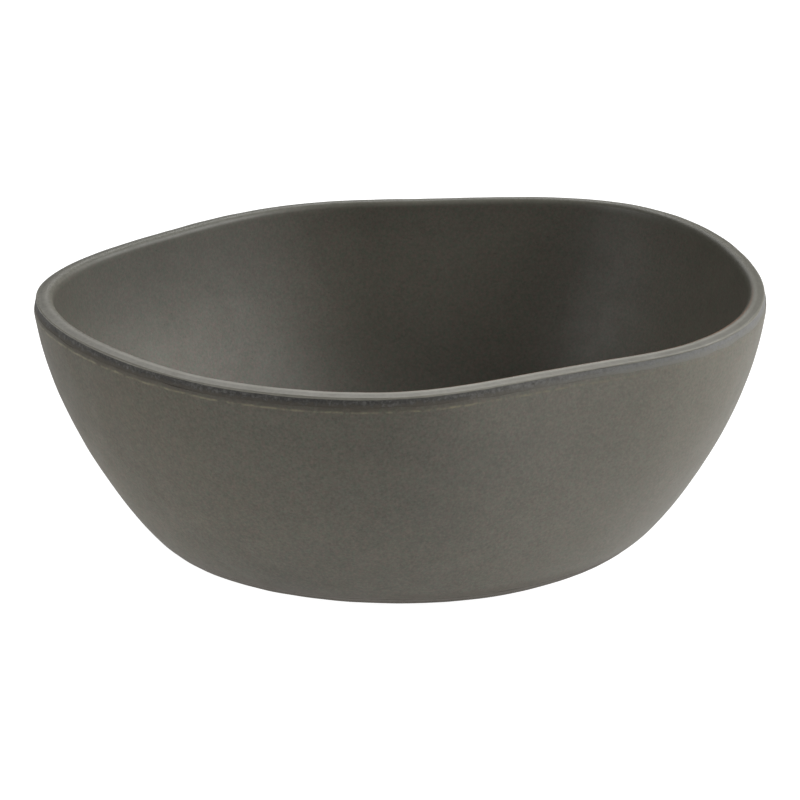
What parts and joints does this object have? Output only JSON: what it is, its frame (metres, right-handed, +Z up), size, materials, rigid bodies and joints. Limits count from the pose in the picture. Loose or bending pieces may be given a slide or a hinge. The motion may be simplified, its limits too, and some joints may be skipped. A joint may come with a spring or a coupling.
{
  "type": "stoneware bowl",
  "caption": "Free-form matte stoneware bowl with a pebble-shaped outline, flat sloping lip and bare foot ring.",
  "frame": {"origin": "on the table, at the middle of the bowl's length and width", "axes": "+Z up out of the bowl, +X along its length, +Y across it towards the side that is farther from the viewer"},
  "size_m": [0.2, 0.1792, 0.0698],
  "materials": {
    "bare_clay": "matte",
    "inner_glaze": "matte",
    "outer_glaze": "matte"
  },
  "bodies": {
    "root": {"clay_body": "bare_clay", "inner_glaze": "inner_glaze", "outer_glaze": "outer_glaze"}
  },
  "joints": []
}
